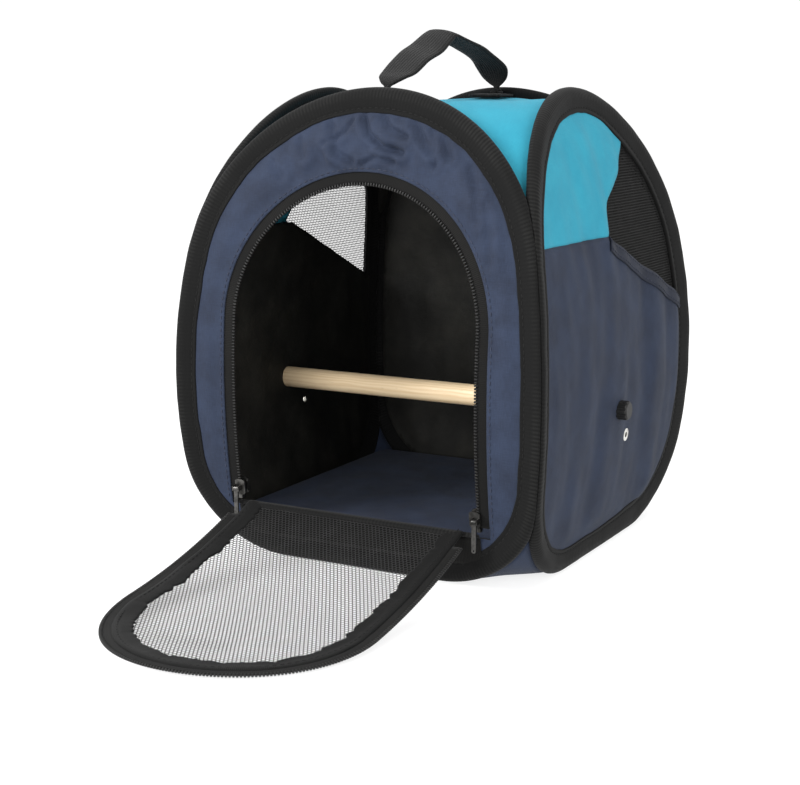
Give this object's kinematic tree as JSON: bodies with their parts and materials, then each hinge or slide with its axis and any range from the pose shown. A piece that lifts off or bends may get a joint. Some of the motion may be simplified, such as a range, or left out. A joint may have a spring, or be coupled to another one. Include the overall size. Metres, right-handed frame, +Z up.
{
  "type": "bird travel carrier",
  "caption": "Soft-sided bird travel carrier: padded spring rings, bowed fabric walls, zipped net door that folds down, net windows, perch on screw knobs, floor board and webbing handle.",
  "frame": {"origin": "middle of the base, on the ground", "axes": "+Z up, the door faces -Y, +X is the side on the right of someone who looks at the door"},
  "size_m": [0.2818, 0.471, 0.3489],
  "materials": {
    "binding": "matt black woven binding tape",
    "spring_steel": "flat spring strip",
    "navy_fabric": "plain-woven navy polyester, slightly sheeny",
    "lining": "matt black coated cloth",
    "turquoise_fabric": "plain-woven turquoise polyester",
    "net": "fine black hexagonal net",
    "door_net": "fine grey hexagonal net",
    "hem": "folded navy tape, double stitched",
    "floor_fabric": "plain-woven dark navy polyester",
    "board": "stiff board",
    "zip_tape": "black twill zip tape",
    "zip_coil": "black nylon coil",
    "zip_metal": "grey nickel",
    "wood": "sanded natural wood dowel",
    "knob_plastic": "black moulded plastic",
    "eyelet_metal": "bright nickel",
    "webbing": "charcoal ribbed webbing"
  },
  "bodies": {
    "carrier": {"front_binding": "binding", "right_binding": "binding", "back_binding": "binding", "left_binding": "binding", "front_spring": "spring_steel", "right_spring": "spring_steel", "back_spring": "spring_steel", "left_spring": "spring_steel", "front_panel": "navy_fabric", "front_lining": "lining", "back_panel": "navy_fabric", "back_lining": "lining", "right_panel": "navy_fabric", "left_panel": "navy_fabric", "right_lining": "lining", "left_lining": "lining", "right_yoke": "turquoise_fabric", "left_yoke": "turquoise_fabric", "right_window_net": "net", "left_window_net": "net", "right_window_hem": "hem", "left_window_hem": "hem", "top_panel": "turquoise_fabric", "base_panel": "navy_fabric", "floor_cover": "floor_fabric", "floor_board": "board", "frame_zip_tape": "zip_tape", "frame_zip_coil": "zip_coil", "zip_stops": "zip_metal", "hinge_tape": "binding", "perch": "wood", "perch_eyelets": "eyelet_metal", "spare_eyelets": "eyelet_metal", "handle_anchors": "webbing"},
    "door": {"door_net": "door_net", "door_binding": "binding", "door_zip_tape": "zip_tape", "door_zip_coil": "zip_coil", "door_hinge_piping": "binding"},
    "right_slider": {"right_slider": "zip_metal"},
    "left_slider": {"left_slider": "zip_metal"},
    "right_pull": {"right_pull": "zip_metal"},
    "left_pull": {"left_pull": "zip_metal"},
    "handle": {"handle": "webbing"},
    "right_knob": {"right_knob": "knob_plastic"},
    "left_knob": {"left_knob": "knob_plastic"}
  },
  "joints": [
    {"name": "door_hinge", "type": "hinge", "parent": "carrier", "child": "door", "pos_m": [0, -0.12619, 0.036], "axis": [-1, 0, 0], "range_deg": [0, 102.4]},
    {"name": "right_zip_slide", "type": "hinge", "parent": "carrier", "child": "right_slider", "pos_m": [0, 0.349, 0.12], "axis": [-1, 0, 0], "range_deg": [0, 12.9]},
    {"name": "left_zip_slide", "type": "hinge", "parent": "carrier", "child": "left_slider", "pos_m": [0, 0.349, 0.12], "axis": [-1, 0, 0], "range_deg": [0, 12.9]},
    {"name": "right_pull_swing", "type": "hinge", "parent": "right_slider", "child": "right_pull", "pos_m": [0.0886, -0.13095, 0.04615], "axis": [-1, 0, 0], "range_deg": [-6, 150]},
    {"name": "left_pull_swing", "type": "hinge", "parent": "left_slider", "child": "left_pull", "pos_m": [-0.0886, -0.13095, 0.04615], "axis": [-1, 0, 0], "range_deg": [-6, 150]},
    {"name": "handle_flop", "type": "hinge", "parent": "carrier", "child": "handle", "pos_m": [0, 0, 0.3074], "axis": [0, 1, 0], "range_deg": [-45, 45]},
    {"name": "right_knob_turn", "type": "hinge", "parent": "carrier", "child": "right_knob", "pos_m": [0.14, -0.005, 0.099], "axis": [1, 0, 0], "continuous": true},
    {"name": "left_knob_turn", "type": "hinge", "parent": "carrier", "child": "left_knob", "pos_m": [-0.14, -0.005, 0.099], "axis": [-1, 0, 0], "continuous": true}
  ]
}
